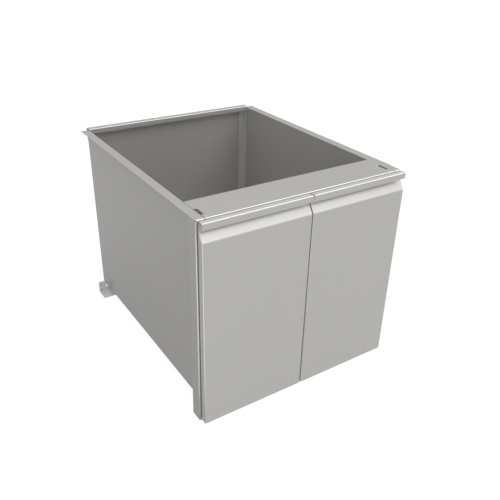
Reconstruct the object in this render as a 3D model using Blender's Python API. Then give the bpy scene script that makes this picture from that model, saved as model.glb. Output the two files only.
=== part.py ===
"""Under-counter waste cabinet in stainless sheet, with two grip doors, in metres, +Z up.

The front faces -Y. The origin is at the middle of the footprint, on the floor.
Heights are measured from the floor, depths from the plane of the door fronts.
"""
import math

import bmesh
import bpy
from mathutils import Matrix, Vector

# ---------------------------------------------------------------- driving dimensions
WIDTH = 0.700
DEPTH = 0.861
RIM_HEIGHT = 0.6515
WALL_SHEET = 0.0012
FRAME_SHEET = 0.0015
DOOR_SHEET = 0.0010
BEND = 0.0010
BEND_STEPS = 3
SEAT = 0.0003
OVERRUN = 0.0100
OVERLAP = 0.0010
ROUND_STEPS = 16
SCREW_STEPS = 12

# side panels: an inset wall with a flange turned outwards along the rim
FLANGE_WIDTH = 0.0282
FLANGE_BACK_SETBACK = 0.0175
PANEL_BOTTOM = 0.0367

# front posts
POST_DEPTH = 0.0430
POST_BEND = 0.0022

# front rail
FRONT_RAIL_DEPTH = 0.1180
FRONT_RAIL_DROP = 0.0300
FRONT_RAIL_RETURN = 0.0380
RAIL_END_SLIT = 0.0008
RAIL_LIP = 0.0140
SLOT_WIDTH = 0.0100
SLOT_LENGTH = 0.0380
SLOT_START = 0.0240
RAIL_TAB_DROP = 0.0300
RAIL_TAB_LENGTH = 0.0400
RAIL_TAB_GAP = 0.0060

# rear rail
REAR_RAIL_DEPTH = 0.0250
REAR_RAIL_RISE = 0.0044
REAR_RAIL_LIP = 0.0170
REAR_RAIL_BACK = 0.0450

# back panel and rear corner angles
CORNER_ANGLE = 0.0220

# base panel
BASE_FRONT_DROP = 0.0260

# rear foot brackets
FOOT_SHEET = 0.0030
FOOT_LENGTH = 0.0520
FOOT_WIDTH = 0.0600
FOOT_HEIGHT = 0.0430
FOOT_GUSSET = 0.0080
FOOT_HOLE_RADIUS = 0.0040
FOOT_HOLE_INSET = 0.0308
FOOT_HOLE_HEIGHT = 0.0200
FOOT_BEHIND_FLANGE = 0.0015
FOOT_EAR_GAP = 0.0006

# doors
DOOR_INSET = 0.0052
DOOR_GAP = 0.0035
DOOR_BOTTOM = 0.0025
DOOR_THICKNESS = 0.0210
DOOR_STANDOFF = 0.0030
DOOR_TOP_STEP = 0.0006
LIP_HEIGHT = 0.0184
FINGER_HEIGHT = 0.0362
GRIP_DEPTH = 0.0184
GRIP_RISE = 0.0248
LINER_EDGE = 0.0010
LINER_TOP_STEP = 0.0040
LINER_WINDOW_EDGE = 0.0026
STIFFENER_WIDTH = 0.0600
STIFFENER_END_GAP = 0.0200

# hinges: one vertical pin inside the door's outer edge, carried by a cranked arm
PIN_INSET = 0.0070
PIN_DEPTH = 0.0095
PIN_RADIUS = 0.0018
PIN_HALF_LENGTH = 0.0105
BUSH_WALL = 0.0007
BARREL_WALL = 0.0014
BARREL_HALF_HEIGHT = 0.0070
NECK_THICKNESS = 0.0030
NECK_FROM_WALL = 0.0078
HINGE_PLATE_THICKNESS = 0.0025
HINGE_PLATE_HALF_HEIGHT = 0.0350
HINGE_PLATE_WIDTH = 0.0200
HINGE_BODY_LENGTH = 0.0480
HINGE_BODY_THICKNESS = 0.0120
HINGE_BODY_HALF_HEIGHT = 0.0100
HINGE_BODY_START = 0.0100
NECK_FRONT_SHARE = 0.87
CUP_SHEET = 0.0012
CUP_NECK_GAP = 0.0034
CUP_FLANGE = 0.0160
CUP_FLANGE_HALF_HEIGHT = 0.0200
LOWER_HINGE_CLEARANCE = 0.0090
UPPER_HINGE_CLEARANCE = 0.0190

# magnetic catches, strike plates and bumpers
CATCH_WIDTH = 0.0400
CATCH_HEIGHT = 0.0150
CATCH_DEPTH = 0.0300
CATCH_FROM_MIDDLE = 0.0150
MAGNET_WIDTH = 0.0240
MAGNET_HEIGHT = 0.0080
MAGNET_DEPTH = 0.0100
STRIKE_THICKNESS = 0.0010
STRIKE_MARGIN = 0.0030
BUMPER_RADIUS = 0.0050
BUMPER_FROM_EDGE = 0.0700

# screws
SCREW_HEAD_RADIUS = 0.0036
SCREW_HEAD_HEIGHT = 0.0018
SCREW_SHANK_RADIUS = 0.0018
SCREW_HOLE_RADIUS = 0.0022
SCREW_LENGTH = 0.0060
RAIL_SCREW_DROP = 0.0180
FOOT_SCREW_INSET = 0.0120
FOOT_SCREW_STEPS = (0.0100, 0.0340)

# ---------------------------------------------------------------- worked-out places
HALF = WIDTH / 2
FRONT = -DEPTH / 2
BACK = DEPTH / 2
WALL_INNER = HALF - FLANGE_WIDTH
WALL_OUTER = WALL_INNER + WALL_SHEET
POST_FRONT = FRONT + DOOR_THICKNESS + DOOR_STANDOFF
POST_BACK = POST_FRONT + POST_DEPTH
RAIL_BACK = POST_FRONT + FRONT_RAIL_DEPTH
RAIL_UNDER = RIM_HEIGHT - FRONT_RAIL_DROP
FLANGE_BACK = BACK - FLANGE_BACK_SETBACK
REAR_RAIL_TOP = RIM_HEIGHT + REAR_RAIL_RISE
REAR_RAIL_FRONT = BACK - REAR_RAIL_DEPTH
BACK_PANEL_BACK = BACK - FRAME_SHEET - SEAT
BACK_PANEL_FRONT = BACK_PANEL_BACK - WALL_SHEET
BASE_TOP = PANEL_BOTTOM + WALL_SHEET
DOOR_OUTER = HALF - DOOR_INSET
CUP_REACH = DOOR_OUTER - WALL_INNER + NECK_FROM_WALL + CUP_NECK_GAP
DOOR_TOP = RIM_HEIGHT - DOOR_TOP_STEP
LIP_BOTTOM = DOOR_TOP - LIP_HEIGHT
SLANT_BOTTOM = LIP_BOTTOM - FINGER_HEIGHT
SLANT_TOP = SLANT_BOTTOM + GRIP_RISE
SKIN_BACK = DOOR_THICKNESS - DOOR_SHEET - SEAT
LINER_FRONT = DOOR_THICKNESS - DOOR_SHEET
PIN_X = DOOR_OUTER - PIN_INSET
PIN_Y = FRONT + PIN_DEPTH
BUSH_RADIUS = PIN_RADIUS + SEAT + BUSH_WALL
BARREL_BORE = BUSH_RADIUS + SEAT
BARREL_RADIUS = BARREL_BORE + BARREL_WALL
CUP_HALF_HEIGHT = BARREL_HALF_HEIGHT + 2 * SEAT + CUP_SHEET
HINGE_HEIGHTS = {
    "lower": BASE_TOP + LOWER_HINGE_CLEARANCE + HINGE_PLATE_HALF_HEIGHT,
    "upper": SLANT_BOTTOM - UPPER_HINGE_CLEARANCE - HINGE_PLATE_HALF_HEIGHT,
}
LEFT, RIGHT = -1, 1
SIDE_NAMES = {LEFT: "left", RIGHT: "right"}

FINISHES = {
    "satin_steel": ((0.38, 0.38, 0.37), 0.38, 1.0),
    "door_steel": ((0.42, 0.42, 0.41), 0.34, 1.0),
    "zinc_steel": ((0.32, 0.33, 0.34), 0.42, 1.0),
    "nickel": ((0.46, 0.48, 0.52), 0.22, 1.0),
    "screw_steel": ((0.50, 0.50, 0.50), 0.28, 1.0),
    "nylon": ((0.62, 0.61, 0.58), 0.50, 0.0),
    "catch_plastic": ((0.55, 0.55, 0.54), 0.45, 0.0),
    "ferrite": ((0.06, 0.06, 0.06), 0.55, 0.0),
    "rubber": ((0.05, 0.05, 0.05), 0.75, 0.0),
}


# ---------------------------------------------------------------- scene and materials
def clear_scene():
    for obj in list(bpy.data.objects):
        bpy.data.objects.remove(obj, do_unlink=True)


def finish(name):
    """The Principled material of that name, made once."""
    material = bpy.data.materials.get(name)
    if material:
        return material
    colour, roughness, metallic = FINISHES[name]
    material = bpy.data.materials.new(name)
    material.use_nodes = True
    shader = material.node_tree.nodes["Principled BSDF"]
    shader.inputs["Base Color"].default_value = (*colour, 1.0)
    shader.inputs["Roughness"].default_value = roughness
    shader.inputs["Metallic"].default_value = metallic
    return material


# ---------------------------------------------------------------- outlines
def offset_path(path, distance):
    """The path moved sideways, to its left, with mitred corners."""
    points = [Vector(point) for point in path]
    moved = []
    for index, point in enumerate(points):
        before = point - points[index - 1] if index else points[1] - point
        after = points[index + 1] - point if index + 1 < len(points) else before
        before, after = before.normalized(), after.normalized()
        normal_a = Vector((-before.y, before.x))
        normal_b = Vector((-after.y, after.x))
        bisector = (normal_a + normal_b).normalized()
        moved.append(point + bisector * (distance / bisector.dot(normal_a)))
    return moved


def round_corner(before, corner, after, radius):
    """The points of an arc of this radius, tangent to both edges at the corner."""
    to_before = (before - corner).normalized()
    to_after = (after - corner).normalized()
    half_angle = to_before.angle(to_after) / 2
    setback = radius / math.tan(half_angle)
    centre = corner + (to_before + to_after).normalized() * (radius / math.sin(half_angle))
    start = corner + to_before * setback - centre
    end = corner + to_after * setback - centre
    sweep = start.angle_signed(end)
    return [
        centre + Matrix.Rotation(-sweep * step / BEND_STEPS, 2) @ start
        for step in range(BEND_STEPS + 1)
    ]


def sheet_outline(path, thickness, bend=BEND):
    """A bent sheet's section: the path is one face, the sheet lies on its left, or right if negative."""
    near = [Vector(point) for point in path]
    far = offset_path(path, thickness)
    sides = ([near[0]], [far[0]])
    for index in range(1, len(near) - 1):
        first = near[index] - near[index - 1]
        second = near[index + 1] - near[index]
        towards_sheet = (first.x * second.y - first.y * second.x) * thickness > 0
        wide = bend + abs(thickness)
        radii = (wide, bend) if towards_sheet else (bend, wide)
        for side, line, radius in zip(sides, (near, far), radii):
            side += round_corner(line[index - 1], line[index], line[index + 1], radius)
    return sides[0] + [near[-1], far[-1]] + sides[1][:0:-1] + [sides[1][0]]


def circle(centre, radius, steps=ROUND_STEPS):
    return [
        Vector(centre) + radius * Vector((math.cos(angle), math.sin(angle)))
        for angle in (math.tau * step / steps for step in range(steps))
    ]


# ---------------------------------------------------------------- solids
AXES = {"x": (1, 2, 0), "y": (0, 2, 1), "z": (0, 1, 2)}


def prism_into(mesh, outline, axis, low, high):
    """Adds to the bmesh the outline, extruded along an axis between two places."""
    first, second, along = AXES[axis]
    corners = []
    for point in outline:
        place = [0.0, 0.0, 0.0]
        place[first], place[second], place[along] = point[0], point[1], low
        corners.append(mesh.verts.new(place))
    face = mesh.faces.new(corners)
    grown = bmesh.ops.extrude_face_region(mesh, geom=[face])
    moved = [item for item in grown["geom"] if isinstance(item, bmesh.types.BMVert)]
    shift = [0.0, 0.0, 0.0]
    shift[along] = high - low
    bmesh.ops.translate(mesh, verts=moved, vec=shift)


def object_from(name, mesh, material):
    """Turns the bmesh into an object with outward faces and one finish."""
    bmesh.ops.recalc_face_normals(mesh, faces=mesh.faces)
    data = bpy.data.meshes.new(name)
    mesh.to_mesh(data)
    mesh.free()
    data.materials.append(finish(material))
    obj = bpy.data.objects.new(name, data)
    bpy.context.scene.collection.objects.link(obj)
    return obj


def prism(name, outline, axis, low, high, material):
    mesh = bmesh.new()
    prism_into(mesh, outline, axis, low, high)
    return object_from(name, mesh, material)


def block_outline(first, second):
    return [(first[0], second[0]), (first[1], second[0]), (first[1], second[1]), (first[0], second[1])]


def block(name, x, y, z, material):
    return prism(name, block_outline(sorted(x), sorted(y)), "z", min(z), max(z), material)


def rod(name, centre, axis, low, high, radius, material, steps=ROUND_STEPS):
    return prism(name, circle(centre, radius, steps), axis, low, high, material)


def combine(target, tool, operation):
    """Applies one Boolean to the target at once and removes the tool."""
    modifier = target.modifiers.new(operation.lower(), "BOOLEAN")
    modifier.operation = operation
    modifier.solver = "EXACT"
    modifier.object = tool
    graph = bpy.context.evaluated_depsgraph_get()
    result = bpy.data.meshes.new_from_object(target.evaluated_get(graph))
    target.modifiers.clear()
    target.data = result
    bpy.data.objects.remove(tool, do_unlink=True)
    return target


def unite(target, *tools):
    for tool in tools:
        combine(target, tool, "UNION")
    return target


def cut(target, *tools):
    for tool in tools:
        combine(target, tool, "DIFFERENCE")
    return target


def mirror_x(points, side):
    """Outline points given for the right side, for the side asked for."""
    return [(point[0] * side, point[1]) for point in points]


def screw(name, axis, place, head_at, points_to, length):
    """A pan-head screw: the head stands on the seat at head_at, the shank goes the other way."""
    seat = head_at + SEAT * points_to
    head = rod(name, place, axis, seat, seat + SCREW_HEAD_HEIGHT * points_to,
               SCREW_HEAD_RADIUS, "screw_steel", SCREW_STEPS)
    shank = rod("shank", place, axis, seat + SCREW_HEAD_HEIGHT / 2 * points_to,
                head_at - length * points_to, SCREW_SHANK_RADIUS, "screw_steel", SCREW_STEPS)
    return unite(head, shank)


def drill(target, axis, places, low, high, radius=SCREW_HOLE_RADIUS):
    for place in places:
        cut(target, rod("drill", place, axis, low, high, radius, "screw_steel", SCREW_STEPS))


# ---------------------------------------------------------------- cabinet body
def side_panel(side):
    """The inset side wall, with its rim flange turned outwards behind the front post."""
    wall_path = [(WALL_INNER, PANEL_BOTTOM), (WALL_INNER, RIM_HEIGHT), (HALF, RIM_HEIGHT)]
    outline = mirror_x(sheet_outline(wall_path, -WALL_SHEET), side)
    panel = prism(f"{SIDE_NAMES[side]}_side_panel", outline, "y",
                  POST_FRONT + SEAT, BACK_PANEL_BACK, "satin_steel")
    post_space = block("space", (WALL_OUTER * side, (HALF + OVERRUN) * side),
                       (POST_FRONT - OVERRUN, POST_BACK + SEAT),
                       (PANEL_BOTTOM - OVERRUN, RIM_HEIGHT + OVERRUN), "satin_steel")
    rear_space = block("space", ((WALL_OUTER + BEND) * side, (HALF + OVERRUN) * side),
                       (FLANGE_BACK, BACK + OVERRUN),
                       (PANEL_BOTTOM - OVERRUN, RIM_HEIGHT + OVERRUN), "satin_steel")
    rail_space = block("space", ((WALL_INNER - OVERRUN) * side, (WALL_OUTER + BEND + OVERLAP) * side),
                       (REAR_RAIL_FRONT - SEAT, BACK + OVERRUN),
                       (REAR_RAIL_TOP - REAR_RAIL_LIP - SEAT, RIM_HEIGHT + OVERRUN), "satin_steel")
    return cut(panel, post_space, rear_space, rail_space)


def front_post(side):
    """A channel that opens towards the wall, with a cap that carries the rim on."""
    inner = WALL_OUTER + SEAT
    path = [(inner, POST_FRONT), (HALF, POST_FRONT), (HALF, POST_BACK), (inner, POST_BACK)]
    outline = mirror_x(sheet_outline(path, FRAME_SHEET, POST_BEND), side)
    post = prism(f"{SIDE_NAMES[side]}_front_post", outline, "z",
                 0.0, RIM_HEIGHT - POST_BEND, "satin_steel")
    cap = block("cap", ((inner + SEAT) * side, (HALF - FRAME_SHEET / 2) * side),
                (POST_FRONT + FRAME_SHEET / 2, POST_BACK - FRAME_SHEET / 2),
                (RIM_HEIGHT - POST_BEND - FRAME_SHEET, RIM_HEIGHT), "satin_steel")
    return unite(post, cap)


def front_rail():
    """The wide rail behind the doors: flat top, front drop with a return, rear lip."""
    top = RIM_HEIGHT
    reach = WALL_INNER - RAIL_END_SLIT
    path = [
        (POST_FRONT + FRONT_RAIL_RETURN, RAIL_UNDER), (POST_FRONT, RAIL_UNDER),
        (POST_FRONT, top), (RAIL_BACK, top), (RAIL_BACK, top - RAIL_LIP),
    ]
    outline = sheet_outline(path, -FRAME_SHEET, POST_BEND)
    rail = prism("front_rail", outline, "x", -reach, reach, "satin_steel")
    for side in (LEFT, RIGHT):
        slot = block("slot", ((reach - SLOT_WIDTH) * side, (reach + OVERRUN) * side),
                     (POST_FRONT + SLOT_START, POST_FRONT + SLOT_START + SLOT_LENGTH),
                     (top - OVERRUN, top + OVERRUN), "satin_steel")
        cut(rail, slot)
        tab_start = POST_FRONT + SLOT_START + SLOT_LENGTH + RAIL_TAB_GAP
        tab = block("tab", (reach * side, (reach - FRAME_SHEET) * side),
                    (tab_start, tab_start + RAIL_TAB_LENGTH),
                    (top - RAIL_TAB_DROP, top - FRAME_SHEET / 2), "satin_steel")
        unite(rail, tab)
    return rail


def rear_rail():
    """The raised channel along the back edge, open below, over the back panel's top."""
    path = [
        (REAR_RAIL_FRONT, REAR_RAIL_TOP - REAR_RAIL_LIP), (REAR_RAIL_FRONT, REAR_RAIL_TOP),
        (BACK, REAR_RAIL_TOP), (BACK, REAR_RAIL_TOP - REAR_RAIL_BACK),
    ]
    outline = sheet_outline(path, -FRAME_SHEET)
    reach = WALL_OUTER + BEND - SEAT
    return prism("rear_rail", outline, "x", -reach, reach, "satin_steel")


def back_panel():
    return block("back_panel", (-WALL_INNER + SEAT, WALL_INNER - SEAT),
                 (BACK_PANEL_FRONT, BACK_PANEL_BACK),
                 (PANEL_BOTTOM, REAR_RAIL_TOP - FRAME_SHEET - BEND), "satin_steel")


def corner_angle(side):
    """The angle in a rear corner: one leg on the side wall, one on the back panel."""
    corner = (WALL_INNER - SEAT, BACK_PANEL_FRONT - SEAT)
    path = [(corner[0] - CORNER_ANGLE, corner[1]), corner, (corner[0], corner[1] - CORNER_ANGLE)]
    outline = mirror_x(sheet_outline(path, -FRAME_SHEET), side)
    top = REAR_RAIL_TOP - REAR_RAIL_LIP - SEAT
    return prism(f"{SIDE_NAMES[side]}_corner_angle", outline, "z",
                 BASE_TOP + SEAT, top, "satin_steel")


def base_panel():
    """The floor sheet between the side walls, with a front apron turned down."""
    path = [
        (POST_FRONT, PANEL_BOTTOM - BASE_FRONT_DROP), (POST_FRONT, BASE_TOP),
        (BACK_PANEL_FRONT - SEAT, BASE_TOP),
    ]
    outline = sheet_outline(path, -WALL_SHEET)
    reach = WALL_INNER - SEAT
    return prism("base_panel", outline, "x", -reach, reach, "satin_steel")


def foot_bracket(side):
    """The bent rear foot: sole on the floor, upright, and a tab under the base panel."""
    upright_back = FLANGE_BACK + FOOT_BEHIND_FLANGE
    upright_front = upright_back - FOOT_SHEET
    sole_front = upright_front - FOOT_LENGTH
    inner = HALF - FOOT_WIDTH
    tab_top = PANEL_BOTTOM - SEAT
    path = [(sole_front, 0.0), (upright_back, 0.0), (upright_back, tab_top), (sole_front, tab_top)]
    outline = sheet_outline(path, FOOT_SHEET, FOOT_SHEET / 2)
    bracket = prism(f"{SIDE_NAMES[side]}_rear_foot", outline, "x",
                    min(HALF * side, inner * side), max(HALF * side, inner * side), "zinc_steel")
    outside = block("outside", ((WALL_INNER - FOOT_SHEET) * side, (HALF + OVERLAP) * side),
                    (sole_front - OVERLAP, upright_front - FOOT_SHEET),
                    (tab_top - FOOT_SHEET - OVERLAP, tab_top + OVERLAP), "zinc_steel")
    ear = block("ear", ((WALL_OUTER + FOOT_EAR_GAP) * side, HALF * side), (upright_front, upright_back),
                (FOOT_SHEET * 3, FOOT_HEIGHT), "zinc_steel")
    shoulder = block("shoulder", ((WALL_INNER - FOOT_SHEET) * side, (HALF + OVERLAP) * side),
                     (upright_front - FOOT_SHEET - OVERLAP, upright_front),
                     (tab_top - 2 * FOOT_SHEET, tab_top + OVERLAP), "zinc_steel")
    gusset_path = [
        (upright_front + FOOT_SHEET / 2, FOOT_SHEET / 2), (upright_front + FOOT_SHEET / 2, FOOT_HEIGHT),
        (upright_front - FOOT_GUSSET / 2, FOOT_HEIGHT), (upright_front - FOOT_GUSSET, FOOT_GUSSET),
        (sole_front, FOOT_GUSSET / 2), (sole_front, FOOT_SHEET / 2),
    ]
    gusset = prism("gusset", gusset_path, "x", min(HALF * side, (HALF - FOOT_SHEET) * side),
                   max(HALF * side, (HALF - FOOT_SHEET) * side), "zinc_steel")
    cut(bracket, outside, shoulder)
    unite(bracket, ear, gusset)
    hole = rod("hole", ((HALF - FOOT_HOLE_INSET) * side, FOOT_HOLE_HEIGHT), "y",
               upright_front - OVERLAP, upright_back + OVERLAP, FOOT_HOLE_RADIUS, "zinc_steel")
    return cut(bracket, hole)


# ---------------------------------------------------------------- doors
def door_skin(side):
    """The pressed front: flat face, slanted grip recess, top and down-turned lip."""
    outer = [
        (SKIN_BACK, DOOR_BOTTOM), (0.0, DOOR_BOTTOM), (0.0, SLANT_BOTTOM), (GRIP_DEPTH, SLANT_TOP),
        (GRIP_DEPTH, DOOR_TOP - DOOR_SHEET), (DOOR_SHEET, DOOR_TOP - DOOR_SHEET),
        (DOOR_SHEET, LIP_BOTTOM), (0.0, LIP_BOTTOM), (0.0, DOOR_TOP), (SKIN_BACK, DOOR_TOP),
    ]
    slope = GRIP_RISE / GRIP_DEPTH
    drop = DOOR_SHEET * math.hypot(1.0, slope)
    past_back = SKIN_BACK + OVERRUN
    hollow = [
        (past_back, DOOR_BOTTOM + DOOR_SHEET), (DOOR_SHEET, DOOR_BOTTOM + DOOR_SHEET),
        (DOOR_SHEET, SLANT_BOTTOM - drop + slope * DOOR_SHEET),
        (past_back, SLANT_BOTTOM - drop + slope * past_back),
    ]
    place = [(point[0] + FRONT, point[1]) for point in outer]
    space = [(point[0] + FRONT, point[1]) for point in hollow]
    near, far = DOOR_GAP / 2, DOOR_OUTER
    skin = prism(f"{SIDE_NAMES[side]}_door_skin", place, "x",
                 min(near * side, far * side), max(near * side, far * side), "door_steel")
    cavity = prism("cavity", space, "x",
                   min((near + DOOR_SHEET) * side, (far - DOOR_SHEET) * side),
                   max((near + DOOR_SHEET) * side, (far - DOOR_SHEET) * side), "door_steel")
    return cut(skin, cavity)


def door_liner(side):
    """The flat inner sheet of the door, cut out where the hinge arms come through."""
    liner = block(f"{SIDE_NAMES[side]}_door_liner",
                  ((DOOR_GAP / 2 + LINER_EDGE) * side, (DOOR_OUTER - LINER_EDGE) * side),
                  (FRONT + LINER_FRONT, FRONT + DOOR_THICKNESS),
                  (DOOR_BOTTOM + LINER_EDGE, DOOR_TOP - LINER_TOP_STEP), "door_steel")
    for height in HINGE_HEIGHTS.values():
        reach = (DOOR_OUTER - CUP_REACH - 2 * CUP_SHEET) * side
        window = block("window", (reach, (DOOR_OUTER - LINER_WINDOW_EDGE) * side),
                       (FRONT + LINER_FRONT - OVERRUN, FRONT + DOOR_THICKNESS + OVERRUN),
                       (height - CUP_HALF_HEIGHT - CUP_SHEET, height + CUP_HALF_HEIGHT + CUP_SHEET),
                       "door_steel")
        cut(liner, window)
    return liner


def door_stiffener(side):
    """The channel that ties the door's two sheets at mid width."""
    middle = (DOOR_GAP / 2 + DOOR_OUTER) / 2
    near, far = FRONT + DOOR_SHEET + SEAT, FRONT + LINER_FRONT - SEAT
    path = [
        (middle - STIFFENER_WIDTH / 2, far), (middle - STIFFENER_WIDTH / 2, near),
        (middle + STIFFENER_WIDTH / 2, near), (middle + STIFFENER_WIDTH / 2, far),
    ]
    outline = mirror_x(sheet_outline(path, DOOR_SHEET), side)
    return prism(f"{SIDE_NAMES[side]}_door_stiffener", outline, "z",
                 DOOR_BOTTOM + STIFFENER_END_GAP, SLANT_BOTTOM - STIFFENER_END_GAP, "satin_steel")


def hinge_cup(side, level):
    """The folded box in the door that holds the pin, with its screwed flange."""
    height = HINGE_HEIGHTS[level]
    front = FRONT + DOOR_SHEET + SEAT
    back = FRONT + DOOR_THICKNESS + SEAT + CUP_SHEET
    inner_end = DOOR_OUTER - CUP_REACH
    outer_end = DOOR_OUTER - DOOR_SHEET - SEAT
    low, high = height - CUP_HALF_HEIGHT, height + CUP_HALF_HEIGHT
    cup = block(f"{SIDE_NAMES[side]}_{level}_hinge_cup", (inner_end * side, outer_end * side),
                (front, FRONT + SKIN_BACK - SEAT), (low, high), "nickel")
    wall = block("wall", (inner_end * side, (inner_end + CUP_SHEET) * side),
                 (front + CUP_SHEET / 2, back), (low + CUP_SHEET / 4, high - CUP_SHEET / 4), "nickel")
    flange = block("flange", ((inner_end - CUP_FLANGE) * side, (inner_end + CUP_SHEET / 2) * side),
                   (back - CUP_SHEET, back),
                   (height - CUP_FLANGE_HALF_HEIGHT, height + CUP_FLANGE_HALF_HEIGHT), "nickel")
    pocket = block("pocket", ((inner_end + CUP_SHEET) * side, (outer_end + OVERRUN) * side),
                   (front + CUP_SHEET, back + OVERRUN), (low + CUP_SHEET, high - CUP_SHEET), "nickel")
    unite(cup, wall, flange)
    cut(cup, pocket)
    drill(cup, "z", [(PIN_X * side, PIN_Y)], low - OVERRUN, high + OVERRUN, PIN_RADIUS + SEAT)
    return cup


def hinge_plate_places(height):
    y = POST_FRONT + HINGE_BODY_START + HINGE_BODY_LENGTH / 2
    step = (HINGE_BODY_HALF_HEIGHT + HINGE_PLATE_HALF_HEIGHT) / 2
    return [(y, height - step), (y, height + step)]


def hinge_arm(side, level):
    """The cast arm: barrel round the pin, cranked neck, body and wall plate."""
    height = HINGE_HEIGHTS[level]
    name = f"{SIDE_NAMES[side]}_{level}_hinge_arm"
    neck_front = PIN_Y - BARREL_RADIUS * NECK_FRONT_SHARE
    neck_inner = WALL_INNER - NECK_FROM_WALL
    body_front = POST_FRONT + HINGE_BODY_START
    body_outer = WALL_INNER - SEAT
    path = [(PIN_X, neck_front), (neck_inner, neck_front), (neck_inner, body_front + NECK_THICKNESS)]
    neck_outline = mirror_x(sheet_outline(path, -NECK_THICKNESS), side)
    low, high = height - BARREL_HALF_HEIGHT, height + BARREL_HALF_HEIGHT
    arm = prism(name, neck_outline, "z", low, high, "nickel")
    barrel = rod("barrel", (PIN_X * side, PIN_Y), "z", low, high, BARREL_RADIUS, "nickel", 20)
    body = block("body", ((body_outer - OVERLAP) * side, (body_outer - HINGE_BODY_THICKNESS) * side),
                 (body_front, body_front + HINGE_BODY_LENGTH),
                 (height - HINGE_BODY_HALF_HEIGHT, height + HINGE_BODY_HALF_HEIGHT), "nickel")
    middle = body_front + HINGE_BODY_LENGTH / 2
    plate = block("plate", (body_outer * side, (body_outer - HINGE_PLATE_THICKNESS) * side),
                  (middle - HINGE_PLATE_WIDTH / 2, middle + HINGE_PLATE_WIDTH / 2),
                  (height - HINGE_PLATE_HALF_HEIGHT, height + HINGE_PLATE_HALF_HEIGHT), "nickel")
    unite(arm, barrel, body, plate)
    drill(arm, "z", [(PIN_X * side, PIN_Y)], low - OVERRUN, high + OVERRUN, BARREL_BORE)
    drill(arm, "x", hinge_plate_places(height), (WALL_INNER - 2 * OVERRUN) * side,
          (WALL_INNER + OVERRUN) * side)
    return arm


def hinge_pin(side, level):
    height = HINGE_HEIGHTS[level]
    return rod(f"{SIDE_NAMES[side]}_{level}_hinge_pin", (PIN_X * side, PIN_Y), "z",
               height - PIN_HALF_LENGTH, height + PIN_HALF_LENGTH, PIN_RADIUS, "screw_steel")


def hinge_bush(side, level):
    """The nylon bush in the arm's barrel, round the pin."""
    height = HINGE_HEIGHTS[level]
    low, high = height - BARREL_HALF_HEIGHT, height + BARREL_HALF_HEIGHT
    place = (PIN_X * side, PIN_Y)
    bush = rod(f"{SIDE_NAMES[side]}_{level}_hinge_bush", place, "z", low, high, BUSH_RADIUS, "nylon")
    return cut(bush, rod("bore", place, "z", low - OVERRUN, high + OVERRUN, PIN_RADIUS + SEAT, "nylon"))


# ---------------------------------------------------------------- catches and bumpers
def catch_middle():
    return CATCH_FROM_MIDDLE + CATCH_WIDTH / 2


def catch_front():
    return FRONT + DOOR_THICKNESS + STRIKE_THICKNESS + 2 * SEAT


def catch_top():
    return RAIL_UNDER - SEAT


def magnetic_catch(side):
    """The moulded catch under the front rail, with a pocket for its magnet."""
    middle, front, top = catch_middle() * side, catch_front(), catch_top()
    housing = block(f"{SIDE_NAMES[side]}_catch_housing",
                    (middle - CATCH_WIDTH / 2, middle + CATCH_WIDTH / 2),
                    (front, front + CATCH_DEPTH), (top - CATCH_HEIGHT, top), "catch_plastic")
    centre = top - CATCH_HEIGHT / 2
    half_width = MAGNET_WIDTH / 2 + SEAT
    half_height = MAGNET_HEIGHT / 2 + SEAT
    pocket = block("pocket", (middle - half_width, middle + half_width),
                   (front - OVERRUN, front + MAGNET_DEPTH + 2 * SEAT),
                   (centre - half_height, centre + half_height), "catch_plastic")
    return cut(housing, pocket)


def catch_magnet(side):
    middle, front = catch_middle() * side, catch_front()
    centre = catch_top() - CATCH_HEIGHT / 2
    return block(f"{SIDE_NAMES[side]}_catch_magnet",
                 (middle - MAGNET_WIDTH / 2, middle + MAGNET_WIDTH / 2),
                 (front + SEAT, front + SEAT + MAGNET_DEPTH),
                 (centre - MAGNET_HEIGHT / 2, centre + MAGNET_HEIGHT / 2), "ferrite")


def strike_plate(side):
    """The steel plate on the door's liner that the magnet holds."""
    middle = catch_middle() * side
    half = MAGNET_WIDTH / 2 + STRIKE_MARGIN
    centre = catch_top() - CATCH_HEIGHT / 2
    front = FRONT + DOOR_THICKNESS + SEAT
    return block(f"{SIDE_NAMES[side]}_strike_plate", (middle - half, middle + half),
                 (front, front + STRIKE_THICKNESS),
                 (centre - MAGNET_HEIGHT, centre + MAGNET_HEIGHT), "zinc_steel")


def door_bumper(side):
    """The rubber stop low on the liner, against the base panel's apron."""
    place = ((DOOR_GAP / 2 + BUMPER_FROM_EDGE) * side, PANEL_BOTTOM - BASE_FRONT_DROP / 2)
    near, far = FRONT + DOOR_THICKNESS + SEAT, POST_FRONT - SEAT
    return rod(f"{SIDE_NAMES[side]}_door_bumper", place, "y", near, far, BUMPER_RADIUS, "rubber")


# ---------------------------------------------------------------- fasteners
def hinge_plate_screws(side, level):
    """The two screws through a hinge plate into the side wall."""
    head_at = (WALL_INNER - SEAT - HINGE_PLATE_THICKNESS) * side
    name = f"{SIDE_NAMES[side]}_{level}_hinge_screw"
    for number, place in enumerate(hinge_plate_places(HINGE_HEIGHTS[level]), 1):
        screw(f"{name}_{number}", "x", place, head_at, -side, SCREW_LENGTH)


def rail_screw_places():
    y = POST_FRONT + SLOT_START + SLOT_LENGTH + RAIL_TAB_GAP + RAIL_TAB_LENGTH / 2
    z = RIM_HEIGHT - RAIL_SCREW_DROP
    return [(y - RAIL_TAB_LENGTH / 4, z), (y + RAIL_TAB_LENGTH / 4, z)]


def rail_screws(side):
    """The screws through the front rail's end tab into the side wall."""
    head_at = (WALL_INNER - RAIL_END_SLIT - FRAME_SHEET) * side
    for number, place in enumerate(rail_screw_places(), 1):
        screw(f"{SIDE_NAMES[side]}_rail_screw_{number}", "x", place, head_at, -side, SCREW_LENGTH)


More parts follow.
